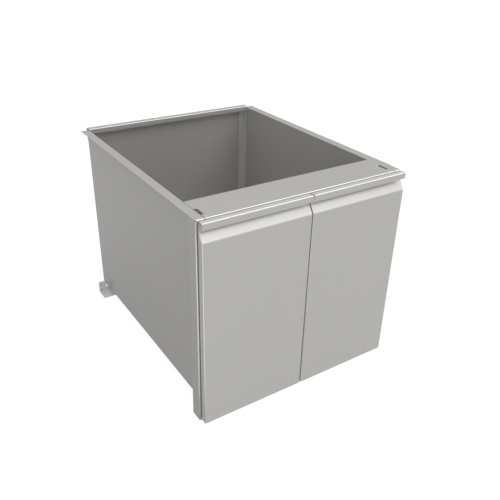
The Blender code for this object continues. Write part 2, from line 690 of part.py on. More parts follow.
def foot_screw_places(side):
    x = (HALF - FOOT_WIDTH + FOOT_SCREW_INSET) * side
    y = FLANGE_BACK - FOOT_LENGTH
    return [(x, y + step) for step in FOOT_SCREW_STEPS]


def foot_screws(side):
    """The screws up through a rear foot's tab into the base panel."""
    head_at = PANEL_BOTTOM - SEAT - FOOT_SHEET
    for number, place in enumerate(foot_screw_places(side), 1):
        screw(f"{SIDE_NAMES[side]}_foot_screw_{number}", "z", place, head_at, -1, SCREW_LENGTH)


def drill_cabinet(parts):
    """The clearance holes for the screws in the panels that they pass through."""
    for side in (LEFT, RIGHT):
        name = SIDE_NAMES[side]
        places = [place for height in HINGE_HEIGHTS.values() for place in hinge_plate_places(height)]
        places += rail_screw_places()
        drill(parts[f"{name}_side_panel"], "x", places, (WALL_INNER - OVERRUN) * side,
              (WALL_OUTER + OVERLAP) * side)
        drill(parts["front_rail"], "x", rail_screw_places(),
              (WALL_INNER - 2 * FRAME_SHEET - RAIL_END_SLIT) * side, WALL_INNER * side)
        drill(parts[f"{name}_rear_foot"], "z", foot_screw_places(side), PANEL_BOTTOM - OVERRUN,
              PANEL_BOTTOM + OVERRUN)
        drill(parts["base_panel"], "z", foot_screw_places(side), PANEL_BOTTOM - OVERRUN,
              PANEL_BOTTOM + OVERRUN)


# ---------------------------------------------------------------- assembly
def hang(door_parts, side):
    """Gives the door's parts an empty on the hinge line as parent and origin."""
    pivot = Vector((PIN_X * side, PIN_Y, 0.0))
    axis = bpy.data.objects.new(f"{SIDE_NAMES[side]}_door_axis", None)
    axis.location = pivot
    bpy.context.scene.collection.objects.link(axis)
    for part in door_parts:
        part.data.transform(Matrix.Translation(-pivot))
        part.parent = axis


def build_door(side):
    parts = [
        door_skin(side), door_liner(side), door_stiffener(side), strike_plate(side), door_bumper(side),
    ]
    for level in HINGE_HEIGHTS:
        parts += [hinge_cup(side, level), hinge_pin(side, level)]
    hang(parts, side)


def build_cabinet():
    parts = [front_rail(), rear_rail(), back_panel(), base_panel()]
    for side in (LEFT, RIGHT):
        parts += [side_panel(side), front_post(side), corner_angle(side), foot_bracket(side)]
        parts += [magnetic_catch(side), catch_magnet(side)]
    drill_cabinet({part.name: part for part in parts})
    for side in (LEFT, RIGHT):
        rail_screws(side)
        foot_screws(side)
        for level in HINGE_HEIGHTS:
            hinge_arm(side, level)
            hinge_bush(side, level)
            hinge_plate_screws(side, level)


def main():
    clear_scene()
    build_cabinet()
    build_door(LEFT)
    build_door(RIGHT)


main()
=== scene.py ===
"""Looks of an under-counter waste cabinet in stainless sheet, with two grip doors.

Metres, +Z up, and the doors face -Y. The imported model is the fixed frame: every piece takes its
place from it. Bent sheets are built as open strips that are folded, given a bend radius and then
a wall thickness, and small cast and moulded parts are the frame's own solids with rounded edges.
"""

import logging
import math
from collections.abc import Callable, Iterable
from dataclasses import dataclass, replace
from enum import Enum

import bmesh
import bpy
from mathutils import Matrix, Quaternion, Vector


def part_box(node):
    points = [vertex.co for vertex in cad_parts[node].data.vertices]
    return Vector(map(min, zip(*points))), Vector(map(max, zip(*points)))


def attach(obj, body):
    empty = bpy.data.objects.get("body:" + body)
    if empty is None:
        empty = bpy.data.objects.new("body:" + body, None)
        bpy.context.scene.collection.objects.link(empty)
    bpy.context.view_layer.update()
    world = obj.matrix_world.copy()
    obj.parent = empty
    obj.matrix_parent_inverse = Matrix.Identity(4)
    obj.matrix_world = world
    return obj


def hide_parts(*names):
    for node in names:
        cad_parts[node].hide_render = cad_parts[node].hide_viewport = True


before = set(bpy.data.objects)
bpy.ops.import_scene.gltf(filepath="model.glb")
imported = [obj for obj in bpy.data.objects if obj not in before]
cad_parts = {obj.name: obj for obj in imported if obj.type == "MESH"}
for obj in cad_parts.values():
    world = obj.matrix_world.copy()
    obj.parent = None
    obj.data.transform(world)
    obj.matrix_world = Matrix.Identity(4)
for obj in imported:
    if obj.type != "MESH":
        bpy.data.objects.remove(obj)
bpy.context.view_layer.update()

LOG = logging.getLogger("cabinet")
MILLIMETRE = 0.001
MERGE = 0.00001
BEND_SEGMENTS = 6
EDGE_SEGMENTS = 2
ROUND_PROFILE = 0.5
FACING = 0.5
SMOOTH_BELOW = math.radians(32.0)
FOLD_ABOVE = SMOOTH_BELOW / 2
CUT_EDGE_ABOVE = math.radians(50.0)
FLAT_WITHIN = math.radians(1.0)
NOISE_SPAN = (0.3, 0.7)
GRAIN_DETAIL = 4.0
GRAIN_ROUGHNESS = 0.6
CLOUD_DETAIL = 2.0
BUMP_STRENGTH = 0.35
WHITE = "#ffffff"

Triple = tuple[float, float, float]


class Side(Enum):
    """The two hands of the cabinet, as the sign of their x."""

    LEFT = -1
    RIGHT = 1

    @property
    def label(self) -> str:
        """The side's word in node names."""
        return self.name.lower()

    @property
    def door(self) -> str:
        """The body of the side's door."""
        return f"{self.label}_door"


class Level(Enum):
    """The two hinge heights of a door."""

    LOWER = "lower"
    UPPER = "upper"


class Run(Enum):
    """The axis that a sheet's folds run along, and the two axes of its section."""

    X = (0, 1, 2)
    Y = (1, 0, 2)
    Z = (2, 0, 1)


# ---------------------------------------------------------------- materials
def linear(colour: str) -> tuple[float, float, float, float]:
    """Turns a hex sRGB colour to linear RGBA.

    Args:
        colour: Six hex digits after a hash sign.

    Returns:
        The linear colour with full alpha.
    """
    parts = [int(colour[start:start + 2], 16) / 255 for start in (1, 3, 5)]
    red, green, blue = (
        part / 12.92 if part <= 0.04045 else ((part + 0.055) / 1.055) ** 2.4 for part in parts
    )
    return red, green, blue, 1.0


def add_node(tree: bpy.types.NodeTree, kind: str, inputs: dict | None = None,
             **settings) -> bpy.types.Node:
    """Adds one node with its settings, its values and its links.

    Args:
        tree: The node tree to add to.
        kind: The node's type name.
        inputs: For each input's name or number, a value or the output socket to link.
        settings: Properties of the node itself.

    Returns:
        The new node.
    """
    node = tree.nodes.new(kind)
    for name, value in settings.items():
        setattr(node, name, value)
    for key, value in (inputs or {}).items():
        if isinstance(value, bpy.types.NodeSocket):
            tree.links.new(value, node.inputs[key])
        else:
            node.inputs[key].default_value = value
    return node


def remap(tree: bpy.types.NodeTree, value: bpy.types.NodeSocket, source: tuple[float, float],
          target: tuple[float, float], **settings) -> bpy.types.NodeSocket:
    """Maps one range of a value onto another.

    Args:
        tree: The node tree to add to.
        value: The socket that gives the value.
        source: The ends of its range.
        target: What the ends become.
        settings: Properties of the node itself.

    Returns:
        The socket of the mapped value.
    """
    return add_node(tree, "ShaderNodeMapRange", {
        "Value": value, "From Min": source[0], "From Max": source[1],
        "To Min": target[0], "To Max": target[1]}, **settings).outputs[0]


def added(tree: bpy.types.NodeTree, first: bpy.types.NodeSocket,
          second: bpy.types.NodeSocket | float) -> bpy.types.NodeSocket:
    """Adds two values.

    Args:
        tree: The node tree to add to.
        first: The socket that gives the first value.
        second: The second value, or the socket that gives it.

    Returns:
        The socket of the sum.
    """
    return add_node(tree, "ShaderNodeMath", {0: first, 1: second}, operation="ADD").outputs[0]


def camera_mix(tree: bpy.types.NodeTree, lit: bpy.types.Node,
               seen: bpy.types.Node) -> bpy.types.NodeSocket:
    """Shows the camera one shader and every other ray another.

    Args:
        tree: The node tree to add to.
        lit: The shader that lights and reflects.
        seen: The shader that the camera sees.

    Returns:
        The socket of the mixed shader.
    """
    ray = add_node(tree, "ShaderNodeLightPath").outputs["Is Camera Ray"]
    return add_node(tree, "ShaderNodeMixShader",
                    {0: ray, 1: lit.outputs[0], 2: seen.outputs[0]}).outputs[0]


def new_tree(name: str) -> tuple[bpy.types.Material, bpy.types.NodeTree]:
    """Makes an empty node material.

    Args:
        name: The material's name.

    Returns:
        The material and its node tree.
    """
    material = bpy.data.materials.new(name)
    material.use_nodes = True
    material.node_tree.nodes.clear()
    return material, material.node_tree


@dataclass(frozen=True)
class Finish:
    """One real surface: its colour, gloss and the fine pattern that its making left.

    The grain is a noise stretched by grain_mm along x, y and z, and cloud_mm is the size of the
    slow changes of gloss from rolling and handling.
    """

    name: str
    colour: str
    roughness: float
    metallic: float = 1.0
    grain_mm: Triple = (1.0, 1.0, 1.0)
    grain_depth_mm: float = 0.004
    grain_gloss: float = 0.04
    cloud_mm: float = 180.0
    cloud_gloss: float = 0.03
    tint: float = 0.03

    def material(self) -> bpy.types.Material:
        """Makes the finish's material, the first time that it is asked for.

        Returns:
            The material.
        """
        found = bpy.data.materials.get(self.name)
        if found:
            return found
        material, tree = new_tree(self.name)
        place = add_node(tree, "ShaderNodeTexCoord").outputs["Object"]
        per_metre = [1.0 / (size * MILLIMETRE) for size in self.grain_mm]
        stretched = add_node(tree, "ShaderNodeMapping", {"Vector": place, "Scale": per_metre})
        grain = add_node(tree, "ShaderNodeTexNoise", {
            "Vector": stretched.outputs[0], "Scale": 1.0, "Detail": GRAIN_DETAIL,
            "Roughness": GRAIN_ROUGHNESS}).outputs["Fac"]
        cloud = add_node(tree, "ShaderNodeTexNoise", {
            "Vector": place, "Scale": 1.0 / (self.cloud_mm * MILLIMETRE),
            "Detail": CLOUD_DETAIL}).outputs["Fac"]
        grain_gloss = remap(tree, grain, NOISE_SPAN, (-self.grain_gloss, self.grain_gloss))
        cloud_gloss = remap(tree, cloud, NOISE_SPAN, (
            self.roughness - self.cloud_gloss, self.roughness + self.cloud_gloss))
        red, green, blue, alpha = linear(self.colour)
        dark, light = 1.0 - self.tint, 1.0 + self.tint
        colour = add_node(tree, "ShaderNodeMix", {
            "Factor": grain,
            6: (red * dark, green * dark, blue * dark, alpha),
            7: (red * light, green * light, blue * light, alpha)}, data_type="RGBA")
        bump = add_node(tree, "ShaderNodeBump", {
            "Height": grain, "Strength": BUMP_STRENGTH,
            "Distance": self.grain_depth_mm * MILLIMETRE})
        shader = add_node(tree, "ShaderNodeBsdfPrincipled", {
            "Base Color": colour.outputs[2], "Roughness": added(tree, grain_gloss, cloud_gloss),
            "Metallic": self.metallic, "Normal": bump.outputs[0]})
        add_node(tree, "ShaderNodeOutputMaterial", {"Surface": shader.outputs[0]})
        return material


# AISI 304 sheet, cold rolled and left with its smooth mill finish: grey, even and softly
# mirroring, with a faint grain along the rolling direction. The real grain is about 0.05 mm
# wide, too fine to show, so it is drawn ten times as coarse and very shallow. The mill's fine
# haze scatters much of the light, so the sheet is shaded as only part metal.
WALL_STEEL_UPRIGHT = Finish(
    "wall_steel_upright", "#c1c0bd", 0.22, metallic=0.55, grain_mm=(0.6, 0.6, 60.0),
    grain_depth_mm=0.0002, grain_gloss=0.006, cloud_gloss=0.006, tint=0.004)
WALL_STEEL_LONG = replace(
    WALL_STEEL_UPRIGHT, name="wall_steel_long", grain_mm=(60.0, 0.6, 0.6))
# The rear angles: more matt, and a shade lighter as a painted highlight along the rear corners.
ANGLE_STEEL = replace(
    WALL_STEEL_UPRIGHT, name="angle_steel_pickled", colour="#cbcac6", roughness=0.30,
    metallic=0.42)
# The door fronts are sheet of a finer finish, a little more matt and hardly grained. Their
# lighter colour is painted light: it brightens the fronts, which face the light.
DOOR_STEEL = Finish(
    "door_steel_satin", "#cfceca", 0.28, metallic=0.55, grain_mm=(0.5, 0.5, 80.0),
    grain_depth_mm=0.00005, grain_gloss=0.002, cloud_gloss=0.004, tint=0.003)
# Zinc-plated pressed steel: matt, with a fine crystalline spangle. Its pale colour is painted
# light, which brightens the rear foot in the shade behind the side wall.
ZINC_PLATE = Finish(
    "zinc_plate", "#e0e0de", 0.38, metallic=0.12, grain_mm=(1.6, 1.6, 1.6),
    grain_gloss=0.05, cloud_mm=12.0, cloud_gloss=0.05, tint=0.05)
# Nickel-plated zinc casting: bright, slightly blue, with a soft orange-peel from the die.
NICKEL_PLATE = Finish(
    "nickel_plate", "#c3c8d4", 0.20, grain_mm=(1.2, 1.2, 1.2),
    grain_depth_mm=0.003, grain_gloss=0.03, cloud_mm=15.0, cloud_gloss=0.04, tint=0.02)
# Passivated stainless screws and pins: bright turned metal.
SCREW_STEEL = Finish(
    "screw_steel", "#c4c4c2", 0.24, grain_mm=(0.5, 0.5, 0.5),
    grain_depth_mm=0.003, grain_gloss=0.05, cloud_mm=6.0, cloud_gloss=0.04)
# Natural moulded nylon: off-white and waxy.
BUSH_NYLON = Finish(
    "bush_nylon", "#d8d6cc", 0.42, metallic=0.0, grain_mm=(0.6, 0.6, 0.6), cloud_mm=8.0)
# Spark-eroded ABS moulding: light grey with a fine even stipple.
CATCH_ABS = Finish(
    "catch_abs", "#b9b9b6", 0.48, metallic=0.0, grain_mm=(0.7, 0.7, 0.7),
    grain_depth_mm=0.03, cloud_mm=20.0)
# Sintered ferrite: nearly black, matt and a little granular.
FERRITE = Finish(
    "ferrite", "#2c2c2e", 0.55, metallic=0.0, grain_mm=(0.5, 0.5, 0.5),
    grain_depth_mm=0.02, cloud_mm=10.0)
# Black nitrile rubber: matt, with a faint moulded haze.
NITRILE = Finish(
    "nitrile_rubber", "#232323", 0.68, metallic=0.0, grain_mm=(0.8, 0.8, 0.8),
    grain_depth_mm=0.02, cloud_mm=10.0)


# ---------------------------------------------------------------- mesh tools
def as_object(mesh: bmesh.types.BMesh, name: str) -> bpy.types.Object:
    """Puts a mesh into the scene.

    Args:
        mesh: The mesh. It is freed.
        name: The object's name.

    Returns:
        The object.
    """
    data = bpy.data.meshes.new(name)
    mesh.to_mesh(data)
    mesh.free()
    made = bpy.data.objects.new(name, data)
    bpy.context.scene.collection.objects.link(made)
    return made


def taken_back(*holders: bpy.types.Object) -> bmesh.types.BMesh:
    """Takes the mesh that an object's modifiers make, and removes the object.

    Args:
        holders: The object, and after it those that its modifiers use. All are removed.

    Returns:
        The mesh.
    """
    made = bmesh.new()
    made.from_object(holders[0], bpy.context.evaluated_depsgraph_get())
    for holder in holders:
        data = holder.data
        bpy.data.objects.remove(holder, do_unlink=True)
        bpy.data.meshes.remove(data)
    return made


def draw_line(mesh: bmesh.types.BMesh, points: Iterable[Vector]) -> None:
    """Draws straight edges from point to point.

    Args:
        mesh: The mesh to draw in.
        points: The points, in order.
    """
    last = None
    for point in points:
        if last is None:
            last = mesh.verts.new(point)
            continue
        grown = bmesh.ops.extrude_vert_indiv(mesh, verts=[last])
        bmesh.ops.translate(mesh, verts=grown["verts"], vec=point - last.co)
        last = grown["verts"][0]


def grow(mesh: bmesh.types.BMesh, edges: list[bmesh.types.BMEdge]) -> list[bmesh.types.BMVert]:
    """Grows a new strip of faces from some edges.

    Args:
        mesh: The sheet.
        edges: The edges to grow from.

    Returns:
        The strip's new corners, still in place on the old ones.
    """
    grown = bmesh.ops.extrude_edge_only(mesh, edges=edges)
    return [item for item in grown["geom"] if isinstance(item, bmesh.types.BMVert)]


def bevelled(mesh: bmesh.types.BMesh, edges: list[bmesh.types.BMEdge], offset: float,
             segments: int = BEND_SEGMENTS, clamp: bool = False) -> None:
    """Rounds some edges.

    Args:
        mesh: The mesh.
        edges: The edges to round.
        offset: How far from the edge the rounding starts.
        segments: How many flats make it.
        clamp: True to stop roundings that would run into each other.
    """
    bmesh.ops.bevel(mesh, geom=edges, offset=offset, offset_type="OFFSET", segments=segments,
                    profile=ROUND_PROFILE, affect="EDGES", clamp_overlap=clamp, material=-1)


def sharp_folds(mesh: bmesh.types.BMesh,
                chosen: Callable[[bmesh.types.BMEdge], bool] = lambda edge: True
                ) -> list[bmesh.types.BMEdge]:
    """Finds the folds of a sheet that have no bend radius yet.

    Args:
        mesh: The sheet.
        chosen: Says which folds to keep.

    Returns:
        The folds.
    """
    return [edge for edge in mesh.edges if len(edge.link_faces) == 2
            and edge.calc_face_angle(0.0) > FOLD_ABOVE and chosen(edge)]


def cut_planes(mesh: bmesh.types.BMesh, point: Vector, normal: Vector) -> None:
    """Splits every face that a plane crosses.

    Args:
        mesh: The mesh to split.
        point: A point on the plane.
        normal: The plane's normal.
    """
    geometry = mesh.verts[:] + mesh.edges[:] + mesh.faces[:]
    bmesh.ops.bisect_plane(mesh, geom=geometry, dist=MERGE, plane_co=point, plane_no=normal)


def cut_window(mesh: bmesh.types.BMesh, low: Iterable[float], high: Iterable[float]) -> None:
    """Removes what lies inside an axis-aligned box from an open sheet.

    Args:
        mesh: The sheet.
        low: The box's lowest corner.
        high: The box's highest corner.
    """
    low, high = Vector(low), Vector(high)
    for corner in (low, high):
        for axis in range(3):
            normal = Vector((0.0, 0.0, 0.0))
            normal[axis] = 1.0
            cut_planes(mesh, corner, normal)
    inside = [face for face in mesh.faces
              if all(low[i] - MERGE < face.calc_center_median()[i] < high[i] + MERGE
                     for i in range(3))]
    bmesh.ops.delete(mesh, geom=inside, context="FACES")


def folded_strip(path: Iterable[tuple[float, float]], run: Run, low: float,
                 high: float) -> bmesh.types.BMesh:
    """Draws a section of straight legs out along one axis, as an open sheet with sharp folds.

    Args:
        path: The section's points, in the run's two section axes.
        run: The axis that the folds run along.
        low: Where the sheet starts on that axis.
        high: Where it ends.

    Returns:
        The sheet.
    """
    along, first, second = run.value
    corners = []
    for point in path:
        corner = Vector((0.0, 0.0, 0.0))
        corner[along], corner[first], corner[second] = low, *point
        corners.append(corner)
    mesh = bmesh.new()
    draw_line(mesh, corners)
    shift = Vector((0.0, 0.0, 0.0))
    shift[along] = high - low
    bmesh.ops.translate(mesh, verts=grow(mesh, mesh.edges[:]), vec=shift)
    bmesh.ops.recalc_face_normals(mesh, faces=mesh.faces[:])
    return mesh


def round_folds(mesh: bmesh.types.BMesh, radius: float,
                chosen: Callable[[bmesh.types.BMEdge], bool] = lambda edge: True) -> None:
    """Gives the sharp folds of a sheet their bend radius.

    Args:
        mesh: The sheet.
        radius: The radius of the sheet's own surface at a fold.
        chosen: Says which folds to round.
    """
    folds = sharp_folds(mesh, chosen)
    half_turn = max(edge.calc_face_angle() for edge in folds) / 2
    bevelled(mesh, folds, radius * math.tan(half_turn))


def normals_towards(mesh: bmesh.types.BMesh, direction: Iterable[float]) -> None:
    """Turns an open sheet so that its largest face looks one way.

    Args:
        mesh: The sheet, with its faces already agreeing with each other.
        direction: The way that the largest face has to look.
    """
    largest = max(mesh.faces, key=lambda face: face.calc_area())
    if largest.normal.dot(Vector(direction)) < 0:
        bmesh.ops.reverse_faces(mesh, faces=mesh.faces[:])


def walled(mesh: bmesh.types.BMesh, thickness: float, offset: float = -1.0,
           edge: float = 0.0002) -> bmesh.types.BMesh:
    """Gives an open sheet its wall thickness and breaks its cut edges.

    Args:
        mesh: The sheet. It is freed.
        thickness: The sheet's thickness.
        offset: -1 puts the wall behind the faces, 0 about them and 1 in front.
        edge: The width of the small bevel on cut edges.

    Returns:
        The closed wall.
    """
    holder = as_object(mesh, "strip")
    wall = holder.modifiers.new("wall", "SOLIDIFY")
    wall.thickness, wall.offset, wall.use_even_offset = thickness, offset, True
    rim = holder.modifiers.new("edge", "BEVEL")
    rim.width, rim.segments, rim.limit_method = edge, EDGE_SEGMENTS, "ANGLE"
    rim.angle_limit = CUT_EDGE_ABOVE
    return taken_back(holder)


def mirrored(mesh: bmesh.types.BMesh, side: Side) -> bmesh.types.BMesh:
    """Turns a closed shape made for the right side into the side asked for.

    Args:
        mesh: The closed shape.
        side: The side to make.

    Returns:
        The same mesh.
    """
    if side is Side.LEFT:
        bmesh.ops.scale(mesh, vec=(-1.0, 1.0, 1.0), verts=mesh.verts[:])
        bmesh.ops.recalc_face_normals(mesh, faces=mesh.faces[:])
    return mesh


def show(mesh: bmesh.types.BMesh, name: str, body: str, finish: Finish, slot: str,
         *nodes: str) -> bpy.types.Object:
    """Turns a finished mesh into a shown piece on its body.

    The weighted normals keep the flats flat beside their bends.

    Args:
        mesh: The closed mesh. It is freed.
        name: The piece's name.
        body: The body that it moves with.
        finish: Its surface.
        slot: The record's material slot; not used.
        nodes: The frame's nodes that it stands for.

    Returns:
        The piece.
    """
    piece = as_object(mesh, name)
    piece.data.shade_smooth()
    piece.data.set_sharp_from_angle(angle=SMOOTH_BELOW)
    piece.data.materials.append(finish.material())
    flat = piece.modifiers.new("flat_faces", "WEIGHTED_NORMAL")
    flat.mode, flat.keep_sharp = "FACE_AREA", True
    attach(piece, body)
    if nodes:
        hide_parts(*nodes)
    LOG.info("%s: %d faces on %s", name, len(piece.data.polygons), body)
    return piece


def softened(node: str, body: str, finish: Finish, slot: str, edge: float,
             segments: int = EDGE_SEGMENTS) -> bpy.types.Object:
    """Shows one of the frame's solids with its edges rounded.

    Args:
        node: The node to copy and stand for.
        body: The body that it moves with.
        finish: Its surface.
        slot: The record's material slot.
        edge: The radius of its edges.
        segments: How many flats make one edge.

    Returns:
        The piece.
    """
    mesh = bmesh.new()
    mesh.from_mesh(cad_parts[node].data)
    for layer in list(mesh.loops.layers.uv):
        mesh.loops.layers.uv.remove(layer)
    bmesh.ops.remove_doubles(mesh, verts=mesh.verts[:], dist=MERGE)
    bmesh.ops.dissolve_limit(mesh, angle_limit=FLAT_WITHIN, verts=mesh.verts[:],
                             edges=mesh.edges[:], use_dissolve_boundaries=False,
                             delimit={"NORMAL"})
    corners = [item for item in mesh.edges
               if item.is_manifold and item.calc_face_angle() > SMOOTH_BELOW]
    bevelled(mesh, corners, edge, segments, clamp=True)
    return show(mesh, f"{node}_finished", body, finish, slot, node)


# ---------------------------------------------------------------- cabinet
@dataclass(frozen=True)
class Planes:
    """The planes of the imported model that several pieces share, for the right half."""

    half: float
    wall_inner: float
    post_front: float
    post_back: float
    rail_back: float
    rail_under: float
    rim: float
    rear_front: float
    back: float
    door_front: float
    door_inner: float
    door_outer: float
    door_bottom: float
    door_top: float

    @classmethod
    def read(cls) -> "Planes":
        """Reads the planes from the boxes of the frame's nodes.

        Returns:
            The planes.
        """
        post_low, post_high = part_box("right_front_post")
        rail_low, rail_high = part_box("front_rail")
        rear_low, rear_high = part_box("rear_rail")
        skin_low, skin_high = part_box("right_door_skin")
        return cls(
            half=post_high.x, wall_inner=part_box("right_side_panel")[0].x,
            post_front=post_low.y, post_back=post_high.y, rail_back=rail_high.y,
            rail_under=rail_low.z, rim=post_high.z, rear_front=rear_low.y, back=rear_high.y,
            door_front=skin_low.y, door_inner=skin_low.x, door_outer=skin_high.x,
            door_bottom=skin_low.z, door_top=skin_high.z)


PLANES = Planes.read()


@dataclass
class SidePanel:
    """The inset side wall with its rim flange turned outwards."""

    side: Side
    sheet: float = 0.0012
    bend: float = 0.0022
    post_gap: float = 0.0003
    flange_back_setback: float = 0.0175
    far: float = 0.02

    def build(self) -> bpy.types.Object:
        """Folds the wall, notches its flange for the post and the rear rail and shows it.

        Returns:
            The piece.
        """
        node = f"{self.side.label}_side_panel"
        low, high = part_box(node)
        inner, rim = PLANES.wall_inner, PLANES.rim
        path = [(inner, low.z), (inner, rim), (PLANES.half, rim)]
        mesh = folded_strip(path, Run.Y, low.y, high.y)
        normals_towards(mesh, (-1.0, 0.0, 0.0))
        round_folds(mesh, self.bend)
        wall_outer = inner + self.sheet
        flange_back = PLANES.back - self.flange_back_setback
        rail_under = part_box("right_corner_angle")[1].z
        cut_window(mesh, (wall_outer, low.y - self.far, rim - self.far),
                   (PLANES.half + self.far, PLANES.post_back + self.post_gap, rim + self.far))
        cut_window(mesh, (wall_outer + self.post_gap, flange_back, rim - self.far),
                   (PLANES.half + self.far, high.y + self.far, rim + self.far))
        cut_window(mesh, (inner - self.far, PLANES.rear_front - self.post_gap, rail_under),
                   (wall_outer + self.sheet, high.y + self.far, rim + self.far))
        return show(mirrored(walled(mesh, self.sheet), self.side), f"{self.side.label}_side_wall",
                    "cabinet", WALL_STEEL_UPRIGHT, "cabinet_steel", node)


@dataclass
class FrontPost:
    """The front corner channel, with its top folded over and a relief at the corner."""

    side: Side
    sheet: float = 0.0015
    bend: float = 0.0037
    relief: float = 0.0040

    def build(self) -> bpy.types.Object:
        """Shapes the channel from a box, rounds its folds, opens the relief and shows it.

        Returns:
            The piece.
        """
        low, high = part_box("right_front_post")
        mesh = bmesh.new()
        bmesh.ops.create_cube(mesh, size=1.0)
        bmesh.ops.scale(mesh, vec=high - low, verts=mesh.verts[:])
        bmesh.ops.translate(mesh, vec=(low + high) / 2, verts=mesh.verts[:])
        open_faces = [face for face in mesh.faces
                      if face.normal.x < -FACING or face.normal.z < -FACING]
        bmesh.ops.delete(mesh, geom=open_faces, context="FACES")

        def is_bent(edge: bmesh.types.BMEdge) -> bool:
            """True for every fold but the one between the top and the back, which stays sharp."""
            return not all(vert.co.y > high.y - MERGE and vert.co.z > high.z - MERGE
                           for vert in edge.verts)

        round_folds(mesh, self.bend, is_bent)
        corner = Vector((high.x, low.y, high.z))
        relief = [face for face in mesh.faces
                  if (face.calc_center_median() - corner).length < self.relief]
        bmesh.ops.delete(mesh, geom=relief, context="FACES")
        return show(mirrored(walled(mesh, self.sheet), self.side),
                    f"{self.side.label}_corner_post", "cabinet", WALL_STEEL_UPRIGHT,
                    "cabinet_steel", f"{self.side.label}_front_post")


@dataclass
class FrontRail:
    """The wide rail behind the doors, with a slot and a turned-down tab at each end."""

    sheet: float = 0.0015
    bend: float = 0.0030
    tab_bend: float = 0.0020
    return_depth: float = 0.0380
    lip: float = 0.0140
    slot_width: float = 0.0100
    slot_length: float = 0.0380
    slot_start: float = 0.0240
    slot_lip: float = 0.0045
    tab_gap: float = 0.0060
    tab_length: float = 0.0400
    tab_drop: float = 0.0300

    def build(self) -> bpy.types.Object:
        """Folds the rail, cuts its slots, turns its tabs down and shows it.

        Returns:
            The piece.
        """
        low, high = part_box("front_rail")
        front, back, top = PLANES.post_front, PLANES.rail_back, PLANES.rim
        path = [(front + self.return_depth, PLANES.rail_under), (front, PLANES.rail_under),
                (front, top), (back, top), (back, top - self.lip)]
        mesh = folded_strip(path, Run.X, low.x, high.x)
        normals_towards(mesh, (0.0, 0.0, 1.0))
        round_folds(mesh, self.bend)
        slot_start = front + self.slot_start
        slot_end = slot_start + self.slot_length
        for end in (low.x, high.x):
            inward = end - math.copysign(self.slot_width, end)
            outward = end + math.copysign(self.slot_width, end)
            cut_window(mesh, (min(inward, outward), slot_start, top - self.sheet),
                       (max(inward, outward), slot_end, top + self.sheet))
        self.turn_down(mesh, high.x - self.slot_width, slot_start, slot_end, self.slot_lip)
        tab_start = slot_end + self.tab_gap
        tab_end = tab_start + self.tab_length
        for place in (tab_start, tab_end):
            cut_planes(mesh, Vector((0.0, place, 0.0)), Vector((0.0, 1.0, 0.0)))
        self.turn_down(mesh, high.x, tab_start, tab_end, self.tab_drop)
        return show(walled(mesh, self.sheet), "front_cross_rail", "cabinet", WALL_STEEL_LONG,
                    "cabinet_steel", "front_rail")

    def turn_down(self, mesh: bmesh.types.BMesh, reach: float, start: float, end: float,
                  drop: float) -> None:
        """Folds a lip down from the cut edges of the top, at both ends of the rail.

        Args:
            mesh: The rail's sheet.
            reach: How far the edges are from the middle.
            start: Where they start, in y.
            end: Where they end.
            drop: How far the lip goes down.
        """
        top = PLANES.rim

        def at_cut(edge: bmesh.types.BMEdge) -> bool:
            """True for an edge that lies along one of the two cuts."""
            return all(abs(abs(vert.co.x) - reach) < MERGE and vert.co.z > top - MERGE
                       and start - MERGE < vert.co.y < end + MERGE for vert in edge.verts)

        moved = grow(mesh, [edge for edge in mesh.edges if edge.is_boundary and at_cut(edge)])
        bmesh.ops.translate(mesh, vec=(0.0, 0.0, -drop), verts=moved)
        round_folds(mesh, self.tab_bend, at_cut)


@dataclass
class RearRail:
    """The raised channel along the back edge."""

    sheet: float = 0.0015
    bend: float = 0.0025
    lip: float = 0.0170
    back_drop: float = 0.0450

    def build(self) -> bpy.types.Object:
        """Folds the channel and shows it.

        Returns:
            The piece.
        """
        low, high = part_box("rear_rail")
        path = [(low.y, high.z - self.lip), (low.y, high.z), (high.y, high.z),
                (high.y, high.z - self.back_drop)]
        mesh = folded_strip(path, Run.X, low.x, high.x)
        normals_towards(mesh, (0.0, 1.0, 0.0))
        round_folds(mesh, self.bend)
        return show(walled(mesh, self.sheet), "rear_cross_rail", "cabinet", WALL_STEEL_LONG,
                    "cabinet_steel", "rear_rail")


@dataclass
class CornerAngle:
    """The angle in a rear corner, one leg on the side wall and one on the back."""

    side: Side
    sheet: float = 0.0015
    bend: float = 0.0025

    def build(self) -> bpy.types.Object:
        """Folds the angle and shows it.

        Returns:
            The piece.
        """
        low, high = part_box("right_corner_angle")
        path = [(low.x, high.y), (high.x, high.y), (high.x, low.y)]
        mesh = folded_strip(path, Run.Z, low.z, high.z)
        normals_towards(mesh, (0.0, 1.0, 0.0))
        if any(face.normal.x < -FACING for face in mesh.faces):
            bmesh.ops.reverse_faces(mesh, faces=mesh.faces[:])
        round_folds(mesh, self.bend)
        # The angle's lighter steel paints a highlight along the rear corner.
        return show(mirrored(walled(mesh, self.sheet), self.side),
                    f"{self.side.label}_rear_angle", "cabinet", ANGLE_STEEL, "cabinet_steel",
                    f"{self.side.label}_corner_angle")


@dataclass
class BasePanel:
    """The floor sheet with its front apron turned down."""

    sheet: float = 0.0012
    bend: float = 0.0022

    def build(self) -> bpy.types.Object:
        """Folds the floor and shows it.

        Returns:
            The piece.
        """
        low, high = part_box("base_panel")
        path = [(low.y, low.z), (low.y, high.z), (high.y, high.z)]
        mesh = folded_strip(path, Run.X, low.x, high.x)
        normals_towards(mesh, (0.0, 0.0, 1.0))
        round_folds(mesh, self.bend)
        return show(walled(mesh, self.sheet), "floor_sheet", "cabinet", WALL_STEEL_LONG,
                    "cabinet_steel", "base_panel")


@dataclass
class BackPanel:
    """The flat back sheet, with its cut edges broken."""

    edge: float = 0.0002

    def build(self) -> bpy.types.Object:
        """Shows the sheet."""
        return softened("back_panel", "cabinet", WALL_STEEL_UPRIGHT, "cabinet_steel", self.edge)


